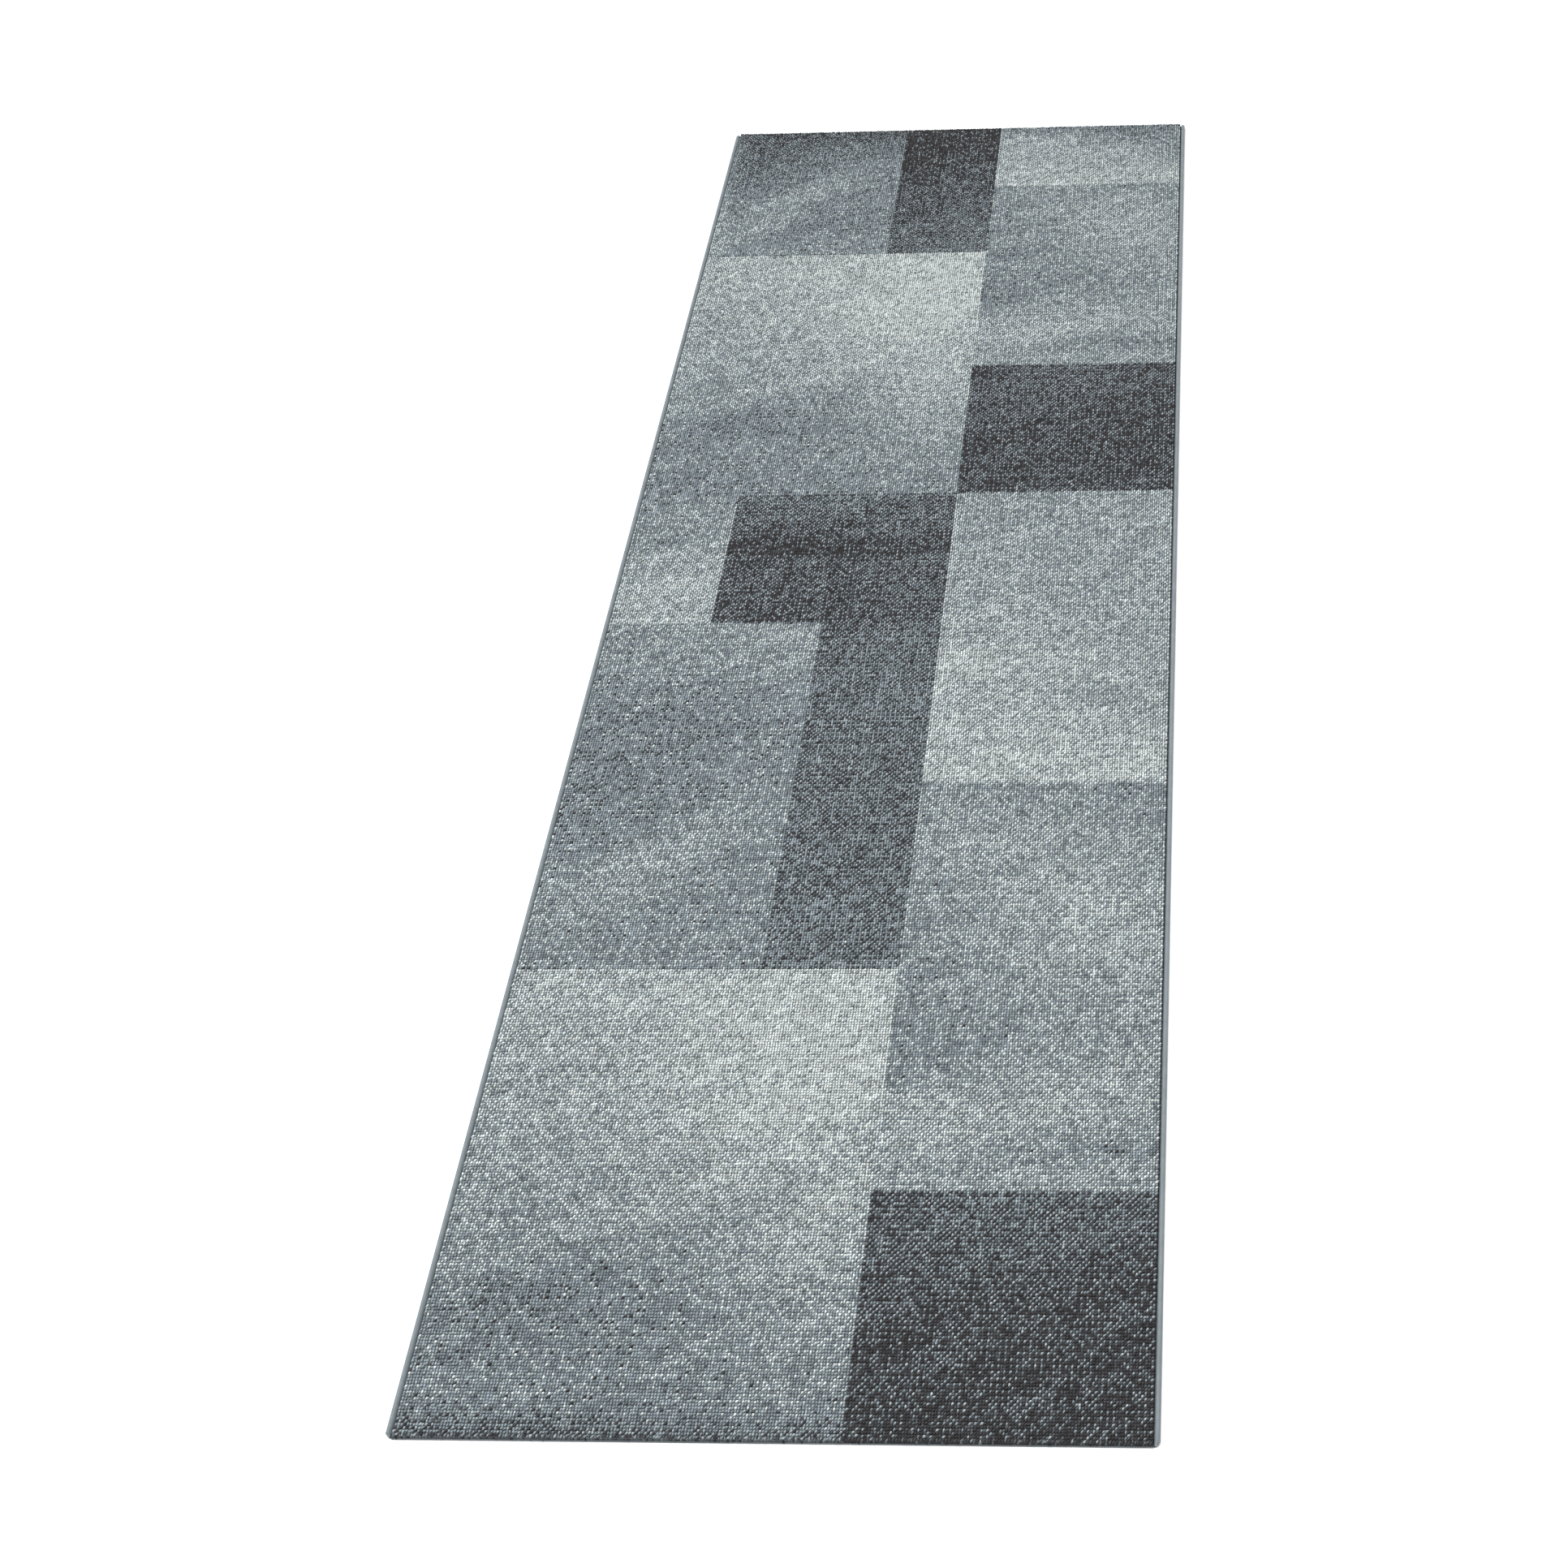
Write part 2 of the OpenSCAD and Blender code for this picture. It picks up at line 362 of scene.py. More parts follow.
def wire(tree, node, inputs):
    """Feeds the named inputs of a node."""
    for name, value in inputs.items():
        feed(tree, next(s for s in node.inputs if s.name == name and s.enabled), value)


def add_node(tree, kind, inputs=None, **choices):
    node = tree.nodes.new(kind)
    for name, value in choices.items():
        setattr(node, name, value)
    wire(tree, node, inputs or {})
    return node


def add_math(tree, operation, first, second=0.0):
    node = tree.nodes.new("ShaderNodeMath")
    node.operation = operation
    feed(tree, node.inputs[0], first)
    feed(tree, node.inputs[1], second)
    return node.outputs[0]


def add_sum(tree, first, second):
    node = tree.nodes.new("ShaderNodeVectorMath")
    feed(tree, node.inputs[0], first)
    feed(tree, node.inputs[1], second)
    return node.outputs[0]


SOCKET_KINDS = {
    "geometry": "NodeSocketGeometry",
    "float": "NodeSocketFloat",
    "int": "NodeSocketInt",
    "vector": "NodeSocketVector",
    "material": "NodeSocketMaterial",
}


def new_group(name, tree_type, inputs, outputs):
    """A node group with named sockets, and its input and output nodes."""
    tree = bpy.data.node_groups.new(name, tree_type)
    for direction, sockets in (("INPUT", inputs), ("OUTPUT", outputs)):
        for socket_name, kind in sockets.items():
            tree.interface.new_socket(
                name=socket_name, in_out=direction, socket_type=SOCKET_KINDS[kind]
            )
    return tree, tree.nodes.new("NodeGroupInput").outputs, tree.nodes.new("NodeGroupOutput")


def geometry_group(name, inputs):
    return new_group(name, "GeometryNodeTree", {"Geometry": "geometry", **inputs}, {"Geometry": "geometry"})


def add_tube(tree, path, radius, sides):
    """Yarn of even thickness along a curve."""
    section = add_node(tree, "GeometryNodeCurvePrimitiveCircle", {"Resolution": sides, "Radius": radius})
    tube = add_node(
        tree, "GeometryNodeCurveToMesh",
        {"Curve": path, "Profile Curve": section.outputs[0], "Fill Caps": True},
    )
    return tube.outputs[0]


def add_row(tree, entry, instance):
    """Equal copies of a shape, each one step on from the last."""
    line = add_node(
        tree, "GeometryNodeMeshLine",
        {"Count": entry["Count"], "Start Location": entry["First"], "Offset": entry["Step"]},
    )
    row = add_node(tree, "GeometryNodeInstanceOnPoints", {"Points": line.outputs[0], "Instance": instance})
    return row.outputs[0]


def finish_geometry(tree, entry, leave, geometry):
    """Ends a geometry tree: instances made real, smooth shading, and the material."""
    real = add_node(tree, "GeometryNodeRealizeInstances", {"Geometry": geometry})
    smooth = add_node(tree, "GeometryNodeSetShadeSmooth", {"Geometry": real.outputs[0]})
    painted = add_node(
        tree, "GeometryNodeSetMaterial", {"Geometry": smooth.outputs[0], "Material": entry["Material"]}
    )
    tree.links.new(painted.outputs[0], leave.inputs["Geometry"])


def built_group(name, build):
    return bpy.data.node_groups.get(name) or build(name)


def grow(obj, tree, values):
    """Runs a geometry tree on an object, keeps the result as its plain mesh, and drops the modifier."""
    modifier = obj.modifiers.new(tree.name, "NODES")
    modifier.node_group = tree
    for item in tree.interface.items_tree:
        if item.in_out == "INPUT" and item.name in values:
            modifier[item.identifier] = values[item.name]
    obj.update_tag()
    depsgraph = bpy.context.evaluated_depsgraph_get()
    grown = bpy.data.meshes.new_from_object(
        obj.evaluated_get(depsgraph), preserve_all_data_layers=True, depsgraph=depsgraph
    )
    seed_mesh = obj.data
    obj.modifiers.clear()
    obj.data = grown
    grown.name = obj.name
    bpy.data.meshes.remove(seed_mesh)
    return obj


def new_object(name, points, edges=(), faces=()):
    mesh = bpy.data.meshes.new(name)
    mesh.from_pydata([tuple(point) for point in points], list(edges), list(faces))
    obj = bpy.data.objects.new(name, mesh)
    bpy.context.scene.collection.objects.link(obj)
    return obj


def settle(piece, *nodes):
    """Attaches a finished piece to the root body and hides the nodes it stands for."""
    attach(piece, "root")
    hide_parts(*nodes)
    return piece


def map_from_above(piece, lit_share=0.94):
    """Lays the piece's surface out as seen from above, with what doesn't face up in a strip of its own."""
    upward = 0.05  # the least upward part of a face's normal that counts as facing up
    strip_fill = 0.9  # the share of the strip that is used, so that it stays clear of the rest
    mesh = piece.data
    corner_count = len(mesh.loops)
    corner_vertex = np.empty(corner_count, dtype=np.int32)
    mesh.loops.foreach_get("vertex_index", corner_vertex)
    places = np.empty(len(mesh.vertices) * 3, dtype=np.float32)
    mesh.vertices.foreach_get("co", places)
    places = places.reshape(-1, 3)
    normals = np.empty(len(mesh.polygons) * 3, dtype=np.float32)
    mesh.polygons.foreach_get("normal", normals)
    sides = np.empty(len(mesh.polygons), dtype=np.int32)
    mesh.polygons.foreach_get("loop_total", sides)
    faces_up = np.repeat(normals.reshape(-1, 3)[:, 2] > upward, sides)
    corners = places[corner_vertex]
    low = places.min(axis=0)
    size = places.max(axis=0) - low
    share = (corners - low) / size
    thin = (corners[:, 2] - low[2]) / max(size[0], size[1])
    across = np.where(faces_up, share[:, 0], (share[:, 0] + thin) / (1 + thin.max()))
    along = np.where(
        faces_up,
        1 - lit_share * (1 - share[:, 1]),
        (1 - lit_share) * strip_fill * (share[:, 1] + thin) / (1 + thin.max()),
    )
    layer = mesh.uv_layers.new(name="OFBake")
    layer.uv.foreach_set("vector", np.column_stack((across, along)).astype(np.float32).ravel())


# ---------------------------------------------------------------- shader groups and materials


def build_fibre_grain(name):
    """Fine uneven fibres: a tint that multiplies the yarn's colour, and a height."""
    tree, entry, leave = new_group(
        name, "ShaderNodeTree",
        {"Vector": "vector", "Scale": "float", "Contrast": "float"},
        {"Tint": "float", "Height": "float"},
    )
    fine = add_node(
        tree, "ShaderNodeTexNoise",
        {"Vector": entry["Vector"], "Scale": entry["Scale"], "Detail": 2.0, "Roughness": 0.6},
    )
    broad_to_fine = 0.13
    broad_scale = add_math(tree, "MULTIPLY", entry["Scale"], broad_to_fine)
    broad = add_node(
        tree, "ShaderNodeTexNoise",
        {"Vector": entry["Vector"], "Scale": broad_scale, "Detail": 1.0},
    )
    mixed = add_math(tree, "ADD", fine.outputs[0], broad.outputs[0])
    centred = add_math(tree, "SUBTRACT", mixed, 1.0)
    tint = add_math(tree, "ADD", add_math(tree, "MULTIPLY", centred, entry["Contrast"]), 1.0)
    tree.links.new(tint, leave.inputs["Tint"])
    tree.links.new(fine.outputs[0], leave.inputs["Height"])
    return tree


def build_plain_weave(name):
    """Over-and-under threads: the height of the cloth, and which thread lies on top."""
    tree, entry, leave = new_group(
        name, "ShaderNodeTree",
        {"Vector": "vector", "Warps": "float", "Wefts": "float"},
        {"Height": "float", "Warp On Top": "float"},
    )
    axes = add_node(tree, "ShaderNodeSeparateXYZ", {"Vector": entry["Vector"]}).outputs
    warp_place = add_math(tree, "MULTIPLY", axes[0], add_math(tree, "MULTIPLY", entry["Warps"], math.pi))
    weft_place = add_math(tree, "MULTIPLY", axes[1], add_math(tree, "MULTIPLY", entry["Wefts"], math.pi))
    warp_wave = add_math(tree, "SINE", warp_place)
    weft_wave = add_math(tree, "SINE", weft_place)
    crossing = add_math(tree, "MULTIPLY", warp_wave, weft_wave)
    on_top = add_math(tree, "GREATER_THAN", crossing, 0.0)
    ridge = add_math(
        tree, "MULTIPLY", add_math(tree, "ABSOLUTE", warp_wave), add_math(tree, "ABSOLUTE", weft_wave)
    )
    tree.links.new(add_math(tree, "POWER", ridge, 0.5), leave.inputs["Height"])
    tree.links.new(on_top, leave.inputs["Warp On Top"])
    return tree


def add_effect(tree, name, build, inputs):
    """Places a shared effect in a material."""
    node = tree.nodes.new("ShaderNodeGroup")
    node.node_tree = built_group(name, build)
    wire(tree, node, inputs)
    return node.outputs


def add_fibres(tree, place, scale, contrast):
    return add_effect(
        tree, "Fibre Grain", build_fibre_grain, {"Vector": place, "Scale": scale, "Contrast": contrast}
    )


def new_material(name, roughness, sheen, sheen_roughness=0.5):
    """A cloth material: its tree, its Principled shader, and object coordinates."""
    material = bpy.data.materials.new(name)
    material.use_nodes = True
    tree = material.node_tree
    shader = tree.nodes["Principled BSDF"]
    shader.inputs["Roughness"].default_value = roughness
    shader.inputs["Sheen Weight"].default_value = sheen
    shader.inputs["Sheen Roughness"].default_value = sheen_roughness
    shader.inputs["Specular IOR Level"].default_value = 0.15
    place = tree.nodes.new("ShaderNodeTexCoord").outputs["Object"]
    return material, tree, shader, place


def tint_colour(tree, colour, tint):
    """A colour multiplied by a tint that varies over the surface."""
    scaled = add_node(tree, "ShaderNodeVectorMath", operation="SCALE")
    feed(tree, scaled.inputs["Vector"], colour)
    feed(tree, scaled.inputs["Scale"], tint)
    return scaled.outputs[0]


def roughen(tree, shader, height, distance, strength):
    bump = add_node(tree, "ShaderNodeBump", {"Height": height, "Distance": distance, "Strength": strength})
    tree.links.new(bump.outputs["Normal"], shader.inputs["Normal"])


def pile_material(slot_name, settings):
    """Heat-set pile yarn: each tuft has its own yarn, with painted shade darker down between the crowns and
    painted light on the crowns.
    """
    material, tree, shader, place = new_material(slot_name, roughness=0.92, sheen=0.03)
    yarn = add_node(tree, "ShaderNodeAttribute", attribute_name="yarn").outputs["Fac"]
    palette = tree.nodes.new("ShaderNodeValToRGB")
    elements = palette.color_ramp.elements
    elements.new(0.5)
    for element, colour in zip(elements, (settings.charcoal, settings.steel, settings.pale)):
        element.color = (*colour, 1.0)
    tree.links.new(yarn, palette.inputs["Fac"])
    grain = add_fibres(tree, place, scale=650.0, contrast=1.0)
    height = add_node(tree, "ShaderNodeSeparateXYZ", {"Vector": place}).outputs["Z"]
    # Painted shade and light: the yarn's colour is darkened towards each tuft's foot, where shade falls
    # between the crowns, and lightened at the crowns; the bed under the tufts is darkened the same way.
    painted_foot_shade, painted_crown_light = 0.25, 1.15
    painted_depth_shade = add_node(
        tree, "ShaderNodeMapRange",
        {"Value": height, "From Min": CROWN - settings.tuft_depth, "From Max": CROWN,
         "To Min": painted_foot_shade, "To Max": painted_crown_light},
    )
    # The fibre grain's tint times the painted shade and light from the height.
    tint = add_math(tree, "MULTIPLY", grain["Tint"], painted_depth_shade.outputs[0])
    tree.links.new(tint_colour(tree, palette.outputs["Color"], tint), shader.inputs["Base Color"])
    roughen(tree, shader, grain["Height"], distance=0.4 * MM, strength=0.5)
    return material


def yarn_material(slot_name, colour, roughness, sheen, fibre_scale, contrast, ply_pitch):
    """Twisted yarn or thread: fibres with a slow change of colour along it and a ply's shading, painted
    into its colour.
    """
    material, tree, shader, place = new_material(slot_name, roughness, sheen, sheen_roughness=0.35)
    grain = add_fibres(tree, place, fibre_scale, contrast)
    axes = add_node(tree, "ShaderNodeSeparateXYZ", {"Vector": place}).outputs
    slanted = add_math(tree, "ADD", axes[0], add_math(tree, "ADD", axes[1], axes[2]))
    ply = add_math(tree, "SINE", add_math(tree, "MULTIPLY", slanted, 2 * math.pi / ply_pitch))
    # Painted shade: the colour is darkened and lightened in stripes along the twist, standing in for the
    # shading of the plies.
    ply_contrast, ply_level = 0.06, 0.97
    painted_ply_shade = add_math(tree, "ADD", add_math(tree, "MULTIPLY", ply, ply_contrast), ply_level)
    tint = add_math(tree, "MULTIPLY", grain["Tint"], painted_ply_shade)
    tree.links.new(tint_colour(tree, tuple(colour), tint), shader.inputs["Base Color"])
    relief = add_math(tree, "ADD", grain["Height"], ply)
    roughen(tree, shader, relief, distance=0.15 * MM, strength=0.6)
    return material


def woven_material(slot_name, warp, weft, warps_per_metre, wefts_per_metre, roughness):
    """Plain-woven cloth with two yarns, dust-like unevenness, and painted shade in the gaps between the
    threads.
    """
    material, tree, shader, place = new_material(slot_name, roughness, sheen=0.05)
    weave = add_effect(
        tree, "Plain Weave", build_plain_weave,
        {"Vector": place, "Warps": warps_per_metre, "Wefts": wefts_per_metre},
    )
    grain = add_fibres(tree, place, scale=500.0, contrast=0.55)
    threads = add_node(
        tree, "ShaderNodeMix",
        {"Factor": weave["Warp On Top"], "A": (*weft, 1.0), "B": (*warp, 1.0)}, data_type="RGBA",
    )
    thread_colour = next(socket for socket in threads.outputs if socket.enabled)
    # Painted shade: the colour is darker down in the gaps between threads and lighter on the threads'
    # crowns.
    painted_gap_shade, painted_thread_light = 0.72, 0.35
    relief = add_math(tree, "ADD", add_math(tree, "MULTIPLY", weave["Height"], painted_thread_light), painted_gap_shade)
    tint = add_math(tree, "MULTIPLY", grain["Tint"], relief)
    tree.links.new(tint_colour(tree, thread_colour, tint), shader.inputs["Base Color"])
    roughen(tree, shader, weave["Height"], distance=0.3 * MM, strength=0.8)
    return material


# ---------------------------------------------------------------- pile


# How much the width, length and height of the tufts differ from the tuft of the settings.
SMALLEST_TUFT = (0.85, 0.85, 0.95)
BIGGEST_TUFT = (1.15, 1.15, 1.05)


def build_tuft_tree(name):
    """A slanting yarn tip on every point, over a bed that takes the mixed colour of its tufts."""
    tree, entry, leave = geometry_group(name, {
        "Tuft Size": "vector", "Lean": "float", "Turn": "float", "Slant": "float", "Seed": "int",
        "Bed Size": "vector", "Bed Centre": "vector", "Bed Steps X": "int", "Bed Steps Y": "int",
        "Material": "material",
    })
    tip = add_node(
        tree, "GeometryNodeMeshCone", {"Vertices": 4, "Radius Top": 0.0, "Radius Bottom": 0.5, "Depth": 1.0}
    )
    shaped = add_node(
        tree, "GeometryNodeTransform", {"Geometry": tip.outputs["Mesh"], "Scale": entry["Tuft Size"]}
    )
    back = add_math(tree, "MULTIPLY", entry["Lean"], -1.0)
    middle = add_math(tree, "MULTIPLY", entry["Slant"], -1.0)
    least_turn = add_math(tree, "SUBTRACT", middle, entry["Turn"])
    most_turn = add_math(tree, "ADD", middle, entry["Turn"])
    lowest = add_node(tree, "ShaderNodeCombineXYZ", {"X": back, "Y": back, "Z": least_turn})
    highest = add_node(
        tree, "ShaderNodeCombineXYZ", {"X": entry["Lean"], "Y": entry["Lean"], "Z": most_turn}
    )
    twist = add_node(
        tree, "FunctionNodeRandomValue",
        {"Min": lowest.outputs[0], "Max": highest.outputs[0], "Seed": entry["Seed"]},
        data_type="FLOAT_VECTOR",
    )
    splay = add_node(tree, "GeometryNodeInputNamedAttribute", {"Name": "splay"}, data_type="FLOAT")
    outward = add_node(tree, "ShaderNodeCombineXYZ", {"X": splay.outputs[0]})
    aimed = add_sum(tree, twist.outputs[0], outward.outputs[0])
    swell = add_node(
        tree, "FunctionNodeRandomValue",
        {"Min": SMALLEST_TUFT, "Max": BIGGEST_TUFT, "Seed": add_math(tree, "ADD", entry["Seed"], 1.0)},
        data_type="FLOAT_VECTOR",
    )
    tufts = add_node(
        tree, "GeometryNodeInstanceOnPoints",
        {"Points": entry["Geometry"], "Instance": shaped.outputs[0], "Rotation": aimed,
         "Scale": swell.outputs[0]},
    )
    block = add_node(
        tree, "GeometryNodeMeshCube",
        {"Size": entry["Bed Size"], "Vertices X": entry["Bed Steps X"],
         "Vertices Y": entry["Bed Steps Y"]},
    )
    placed = add_node(
        tree, "GeometryNodeTransform",
        {"Geometry": block.outputs["Mesh"], "Translation": entry["Bed Centre"]},
    )
    nearest = add_node(tree, "GeometryNodeSampleNearest", {"Geometry": entry["Geometry"]}, domain="POINT")
    mix = add_node(tree, "GeometryNodeInputNamedAttribute", {"Name": "mix"}, data_type="FLOAT")
    mix_there = add_node(
        tree, "GeometryNodeSampleIndex",
        {"Geometry": entry["Geometry"], "Value": mix.outputs[0], "Index": nearest.outputs[0]},
        data_type="FLOAT", domain="POINT",
    )
    bed = add_node(
        tree, "GeometryNodeStoreNamedAttribute",
        {"Geometry": placed.outputs[0], "Name": "yarn", "Value": mix_there.outputs[0]},
        data_type="FLOAT", domain="POINT",
    )
    both = tree.nodes.new("GeometryNodeJoinGeometry")
    tree.links.new(bed.outputs[0], both.inputs[0])
    tree.links.new(tufts.outputs[0], both.inputs[0])
    finish_geometry(tree, entry, leave, both.outputs[0])
    return tree


def grid_lines(start, stop, pitch, low, high):
    """The numbered lines of an even grid from start to stop that lie between low and high."""
    count = round((stop - start) / pitch) + 1
    numbers = np.arange(count)
    places = start + (stop - start) * numbers / (count - 1)
    inside = (places > low) & (places < high)
    return numbers[inside], places[inside]


def tuft_points(node, settings):
    """The tufts of one colour block: places, yarns, the mix they stand in, and how far each splays."""
    low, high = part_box(node)
    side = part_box("left_serged_edge")[1][0] - LEFT + settings.side_gap
    end = settings.row_pitch / 2
    columns, column_x = grid_lines(LEFT + side, RIGHT - side, settings.column_pitch, low[0], high[0])
    rows, row_y = grid_lines(NEAR + end, FAR - end, settings.row_pitch, low[1], high[1])
    column, row = (grid.ravel() for grid in np.meshgrid(columns, rows))
    x, y = (grid.ravel() for grid in np.meshgrid(column_x, row_y))
    splay = np.zeros(len(x))
    z = np.full(len(x), CROWN - settings.tuft_depth)
    for end_y, outward in ((NEAR, 1), (FAR, -1)):
        last = np.abs(y - end_y) < settings.row_pitch
        splay[last] = outward * settings.splay
        face_y = np.full(last.sum(), end_y + outward * settings.face_inset)
        face_z = np.full(last.sum(), settings.face_height)
        column, row = np.append(column, column[last]), np.append(row, row[last] + 1)
        x, y, z = np.append(x, x[last]), np.append(y, face_y), np.append(z, face_z)
        splay = np.append(splay, np.full(len(face_y), outward * settings.droop))
    draw = np.random.default_rng([settings.seed, PILE_NODES.index(node)])
    mix = yarn_mix(node, x, y, settings)
    cell = len(CELL_ORDER)
    order = (CELL_ORDER[row % cell, column % cell] + 0.5) / CELL_ORDER.size
    order = order + settings.stray * draw.uniform(-1, 1, len(x))
    yarn = np.clip(np.floor(mix + order), 0, 2) / 2
    yarn = yarn + settings.dye_scatter * draw.uniform(-1, 1, len(x))
    x = x + draw.uniform(-1, 1, len(x)) * settings.wander * settings.column_pitch
    y = y + draw.uniform(-1, 1, len(x)) * settings.wander * settings.row_pitch
    z = z + draw.uniform(-1, 1, len(x)) * settings.crown_variation
    return np.column_stack((x, y, z)), {"yarn": yarn, "mix": mix / 2, "splay": splay}


def make_pile_block(node, settings, tree, material):
    places, attributes = tuft_points(node, settings)
    piece = new_object(node.replace("_pile", "_tufts"), places)
    for name, values in attributes.items():
        attribute = piece.data.attributes.new(name, "FLOAT", "POINT")
        attribute.data.foreach_set("value", values.astype(np.float32))
    low, high = (np.array(corner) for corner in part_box(node))
    high[2] -= settings.bed_depth
    size = high - low
    grow(piece, tree, {
        "Tuft Size": (settings.tuft_width, settings.tuft_length, settings.tuft_depth),
        "Lean": settings.lean,
        "Turn": settings.turn,
        "Slant": settings.slant,
        "Seed": settings.seed,
        "Bed Size": tuple(size),
        "Bed Centre": tuple((high + low) / 2),
        "Bed Steps X": math.ceil(size[0] / settings.bed_step) + 1,
        "Bed Steps Y": math.ceil(size[1] / settings.bed_step) + 1,
        "Material": material,
    })
    map_from_above(piece)
    return settle(piece, node)


class RUNNERRUG_OT_pile(bpy.types.Operator):
    """Weave the cut pile of every colour block"""

    bl_idname = "runner_rug.pile"
    bl_label = "Pile"

    def execute(self, context):
        settings = context.scene.runner_rug_pile
        tree = built_group("Tufts", build_tuft_tree)
        slots = sorted({SLOTS[node] for node in PILE_NODES})
        materials = {name: pile_material(name, settings) for name in slots}
        for node in PILE_NODES:
            make_pile_block(node, settings, tree, materials[SLOTS[node]])
        return {"FINISHED"}


# ---------------------------------------------------------------- serged long sides


def build_wrap_tree(name):
    """Turns of yarn along a straight side, drawn in and closed where the rug's corners are round."""
    tree, entry, leave = geometry_group(name, {
        "Count": "int", "First": "vector", "Step": "vector", "Yarn Radius": "float",
        "Half Length": "float", "Corner Radius": "float", "Anchor": "vector", "Material": "material",
    })
    turn = add_node(tree, "GeometryNodeMeshToCurve", {"Mesh": entry["Geometry"]})
    turns = add_row(tree, entry, turn.outputs[0])
    real = add_node(tree, "GeometryNodeRealizeInstances", {"Geometry": turns})
    place = tree.nodes.new("GeometryNodeInputPosition").outputs[0]
    axes = add_node(tree, "ShaderNodeSeparateXYZ", {"Vector": place}).outputs
    anchor = add_node(tree, "ShaderNodeSeparateXYZ", {"Vector": entry["Anchor"]}).outputs
    from_end = add_math(tree, "SUBTRACT", entry["Half Length"], add_math(tree, "ABSOLUTE", axes["Y"]))
    openness = add_math(tree, "DIVIDE", from_end, entry["Corner Radius"])
    closing = add_math(tree, "SUBTRACT", add_math(tree, "MINIMUM", openness, 1.0), 1.0)
    moves = {
        axis: add_math(tree, "MULTIPLY", add_math(tree, "SUBTRACT", axes[axis], anchor[axis]), closing)
        for axis in "XZ"
    }
    offset = add_node(tree, "ShaderNodeCombineXYZ", moves)
    drawn_in = add_node(
        tree, "GeometryNodeSetPosition", {"Geometry": real.outputs[0], "Offset": offset.outputs[0]}
    )
    finish_geometry(tree, entry, leave, add_tube(tree, drawn_in.outputs[0], entry["Yarn Radius"], sides=4))
    return tree


def bead_outline(low, high, outer_side, settings):
    """One turn of yarn round the bead: round on the outer side, sloping down to the pile on the inner."""
    radius = settings.yarn_radius
    bottom, top = low[2] + radius, high[2] - radius
    inner_x, outer_x = (low[0] + radius, high[0] - radius)[::outer_side]
    middle_z, bulge = (bottom + top) / 2, (top - bottom) / 2
    crest_x = outer_x - outer_side * bulge
    arc_points = 7
    points = [(inner_x, bottom), (inner_x, bottom + settings.inner_height)]
    for number in range(arc_points):
        angle = math.pi / 2 - math.pi * number / (arc_points - 1)
        points.append((crest_x + outer_side * bulge * math.cos(angle), middle_z + bulge * math.sin(angle)))
    middle_x = (inner_x + outer_x) / 2
    return [(x, (x - middle_x) * math.tan(settings.slant), z) for x, z in points]


def make_serging(node, outer_side, settings, tree, material):
    low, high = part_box(node)
    outline = bead_outline(low, high, outer_side, settings)
    edges = [(number, (number + 1) % len(outline)) for number in range(len(outline))]
    piece = new_object(node.replace("_edge", "_wraps"), outline, edges)
    length = high[1] - low[1] - 2 * settings.yarn_radius
    anchor_x = (low if outer_side > 0 else high)[0] + outer_side * 2 * settings.yarn_radius
    count = round(length * settings.wraps_per_metre)
    grow(piece, tree, {
        "Count": count,
        "First": (0.0, -length / 2, 0.0),
        "Step": (0.0, length / (count - 1), 0.0),
        "Yarn Radius": settings.yarn_radius,
        "Half Length": (high[1] - low[1]) / 2,
        "Corner Radius": settings.corner_radius,
        "Anchor": (anchor_x, 0.0, (low[2] + high[2]) / 2),
        "Material": material,
    })
    return settle(piece, node)


class RUNNERRUG_OT_serging(bpy.types.Operator):
    """Wind the serging yarn round both long sides"""

    bl_idname = "runner_rug.serging"
    bl_label = "Serged sides"

    def execute(self, context):
        settings = context.scene.runner_rug_edge
        tree = built_group("Wraps", build_wrap_tree)
        material = yarn_material(
            "serging_yarn", settings.yarn, roughness=0.62, sheen=0.25, fibre_scale=700.0, contrast=0.35,
            ply_pitch=2.4 * MM,
        )
        make_serging("left_serged_edge", -1, settings, tree, material)
        make_serging("right_serged_edge", 1, settings, tree, material)
        return {"FINISHED"}


def build_cord_tree(name):
    """Three plies twisted round each other along a straight line."""
    tree, entry, leave = geometry_group(name, {
        "Length": "float", "Twists": "float", "Ply Radius": "float", "Start": "vector",
        "Material": "material",
    })
    ply_count, points_per_twist = 3, 8
    helix = add_node(
        tree, "GeometryNodeCurveSpiral",
        {"Resolution": points_per_twist, "Rotations": entry["Twists"], "Start Radius": entry["Ply Radius"],
         "End Radius": entry["Ply Radius"], "Height": entry["Length"]},
    )
    ply = add_tube(tree, helix.outputs[0], entry["Ply Radius"], sides=5)
    cord = tree.nodes.new("GeometryNodeJoinGeometry")
    for number in range(ply_count):
        turned = add_node(
            tree, "GeometryNodeTransform",
            {"Geometry": ply, "Rotation": (0.0, 0.0, number * 2 * math.pi / ply_count)},
        )
        tree.links.new(turned.outputs[0], cord.inputs[0])
    laid = add_node(
        tree, "GeometryNodeTransform",
        {"Geometry": cord.outputs[0], "Rotation": (-math.pi / 2, 0.0, 0.0), "Translation": entry["Start"]},
    )
    finish_geometry(tree, entry, leave, laid.outputs[0])
    return tree


